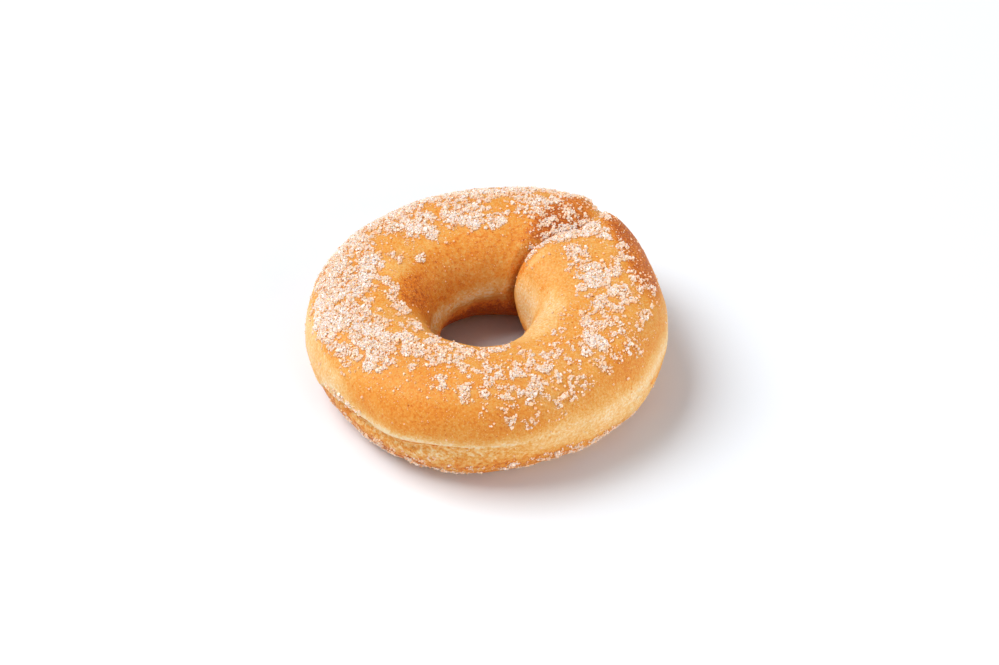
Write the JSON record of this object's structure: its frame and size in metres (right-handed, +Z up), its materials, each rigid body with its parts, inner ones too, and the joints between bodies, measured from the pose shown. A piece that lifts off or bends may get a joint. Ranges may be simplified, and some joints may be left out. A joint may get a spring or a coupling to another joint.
{
  "type": "sugared ring doughnut",
  "caption": "Round fried yeast doughnut with a hole, its rope end lapped over at a seam, a pale waist band and coarse sugar in drifts on top",
  "frame": {"origin": "on the surface it rests on, under the middle of the bounding box", "axes": "+Z up through the hole, +X to the right and -Y to the front as in the picture; the seam lies at the back right"},
  "size_m": [0.0886, 0.0894, 0.0301],
  "materials": {
    "crust": "golden fried dough with a dull, slightly greasy sheen, paler at the waist",
    "sugar": "white granulated sugar crystals"
  },
  "bodies": {
    "root": {"doughnut": "crust"}
  },
  "joints": []
}
